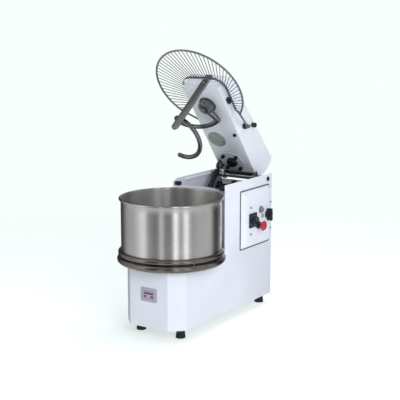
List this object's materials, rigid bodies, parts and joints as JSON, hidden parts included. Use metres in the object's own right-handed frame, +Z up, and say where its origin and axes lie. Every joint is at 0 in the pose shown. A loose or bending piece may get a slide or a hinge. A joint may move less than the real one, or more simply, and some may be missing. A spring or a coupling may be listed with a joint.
{
  "type": "spiral dough mixer",
  "caption": "Floor-standing spiral dough mixer with a lifting head, wire bowl guard, breaker bar, gas strut, side controls and a lift-out stainless bowl on a turntable.",
  "frame": {"origin": "on the floor, midway between front and rear and between left and right of the machine with its head raised", "axes": "+Z up, +X towards the side with the controls, +Y towards the back; the bowl is at -Y"},
  "size_m": [0.385, 0.7552, 0.9888],
  "materials": {
    "painted_body": "smooth white powder coat",
    "grey_sheet": "satin light grey paint",
    "chassis": "plain zinc-plated plate",
    "rubber": "matt black rubber",
    "badge": "satin plain plate",
    "black_plastic": "black moulded plastic",
    "stainless": "polished stainless steel",
    "steel": "ground steel",
    "dark_steel": "blackened steel",
    "spiral_steel": "forged and polished stainless steel",
    "castings": "painted casting",
    "bronze": "sintered bronze",
    "strut_black": "black lacquered tube",
    "red_plastic": "glossy red plastic",
    "black_collar": "black moulded plastic",
    "grey_button": "grey button cap",
    "lamp": "pale lens"
  },
  "bodies": {
    "machine_body": {"body_shell": "painted_body", "rear_cover": "painted_body", "floor_plate": "chassis", "feet": "rubber", "badge_plate": "badge", "cable_gland": "black_plastic", "corner_caps": "black_plastic", "pivot_cheeks": "chassis", "hinge_bushes": "bronze", "hinge_pin": "steel", "pivot_caps": "black_plastic", "turntable_housing": "castings", "turntable_bearings": "steel", "gearbox": "castings", "motor": "castings", "lower_chain": "dark_steel", "coupling_bracket": "chassis", "coupling_bearing": "steel", "strut_bracket": "chassis", "control_box": "painted_body", "control_screws": "steel", "timer_bezel": "black_plastic", "stop_collar": "black_collar", "pilot_lamp": "lamp", "electrical_box": "black_plastic"},
    "head": {"head_cover": "painted_body", "head_plate": "grey_sheet", "hinge_lugs": "chassis", "spiral_housing": "castings", "coupling_housing": "castings", "head_bearings": "steel", "upper_chain": "dark_steel", "breaker_bar": "stainless", "bar_bolts": "stainless", "guard_bosses": "black_plastic", "side_knob": "black_plastic", "strut_lug": "chassis"},
    "spiral": {"spiral_hook": "spiral_steel", "spiral_shaft": "steel", "spiral_sprocket": "dark_steel"},
    "coupling": {"coupling_hub": "dark_steel", "coupling_shaft": "steel", "coupling_sprocket": "dark_steel"},
    "guard": {"guard_ring": "stainless", "guard_band": "stainless", "guard_wires": "stainless"},
    "strut_rod": {"strut_rod": "steel"},
    "strut_cylinder": {"strut_cylinder": "strut_black"},
    "drive": {"drive_shaft": "steel", "drive_sprocket": "dark_steel", "drive_coupling": "dark_steel"},
    "turntable": {"turntable_dish": "stainless", "turntable_shaft": "steel", "turntable_sprocket": "dark_steel"},
    "bowl": {"bowl": "stainless", "bowl_skirt": "stainless"},
    "timer_knob": {"timer_knob": "black_plastic"},
    "stop_button": {"stop_button": "red_plastic"},
    "start_button": {"start_button": "grey_button"},
    "speed_knob": {"speed_knob": "black_plastic"}
  },
  "joints": [
    {"name": "head_tilt", "type": "hinge", "parent": "machine_body", "child": "head", "pos_m": [0, 0.267, 0.492], "axis": [1, 0, 0], "range_deg": [0, 52.7]},
    {"name": "guard_lift", "type": "hinge", "parent": "head", "child": "guard", "pos_m": [0, 0.16944, 0.69927], "axis": [-1, 0, 0], "range_deg": [0, 60]},
    {"name": "spiral_spin", "type": "hinge", "parent": "head", "child": "spiral", "pos_m": [0, 0.044, 0.78473], "axis": [0, 0.7955, 0.606], "continuous": true},
    {"name": "coupling_spin", "type": "hinge", "parent": "head", "child": "coupling", "pos_m": [0, 0.21791, 0.55643], "axis": [0, 0.7955, 0.606], "continuous": true},
    {"name": "strut_swing", "type": "hinge", "parent": "machine_body", "child": "strut_rod", "pos_m": [-0.062, 0.077, 0.375], "axis": [1, 0, 0], "range_deg": [-8, 2]},
    {"name": "strut_slide", "type": "slide", "parent": "strut_rod", "child": "strut_cylinder", "axis": [0, 0.6779, 0.7351], "range_m": [-0.07, 0.01]},
    {"name": "turntable_spin", "type": "hinge", "parent": "machine_body", "child": "turntable", "pos_m": [0, -0.185, 0.25], "axis": [0, 0, 1], "continuous": true},
    {"name": "drive_spin", "type": "hinge", "parent": "machine_body", "child": "drive", "pos_m": [0, 0.186, 0.25], "axis": [0, 0, 1], "continuous": true},
    {"name": "bowl_twist", "type": "hinge", "parent": "turntable", "child": "bowl", "pos_m": [0, -0.185, 0.25], "axis": [0, 0, 1], "range_deg": [-20, 0]},
    {"name": "timer_turn", "type": "hinge", "parent": "machine_body", "child": "timer_knob", "pos_m": [0.155, 0.131, 0.357], "axis": [1, 0, 0], "range_deg": [0, 300]},
    {"name": "speed_turn", "type": "hinge", "parent": "machine_body", "child": "speed_knob", "pos_m": [0.155, 0.235, 0.363], "axis": [1, 0, 0], "range_deg": [0, 90]},
    {"name": "stop_press", "type": "slide", "parent": "machine_body", "child": "stop_button", "axis": [-1, 0, 0], "range_m": [0, 0.005], "stiffness_N_per_m": 900, "springref_m": -0.002},
    {"name": "start_press", "type": "slide", "parent": "machine_body", "child": "start_button", "axis": [-1, 0, 0], "range_m": [0, 0.003], "stiffness_N_per_m": 400, "springref_m": -0.001}
  ],
  "couplings": [
    {"joint": "coupling_spin", "follows": "spiral_spin", "ratio": 2},
    {"joint": "drive_spin", "follows": "turntable_spin", "ratio": 2},
    {"joint": "strut_swing", "follows": "head_tilt", "ratio": -0.13704},
    {"joint": "strut_slide", "follows": "head_tilt", "m_per_rad": -0.051508}
  ]
}
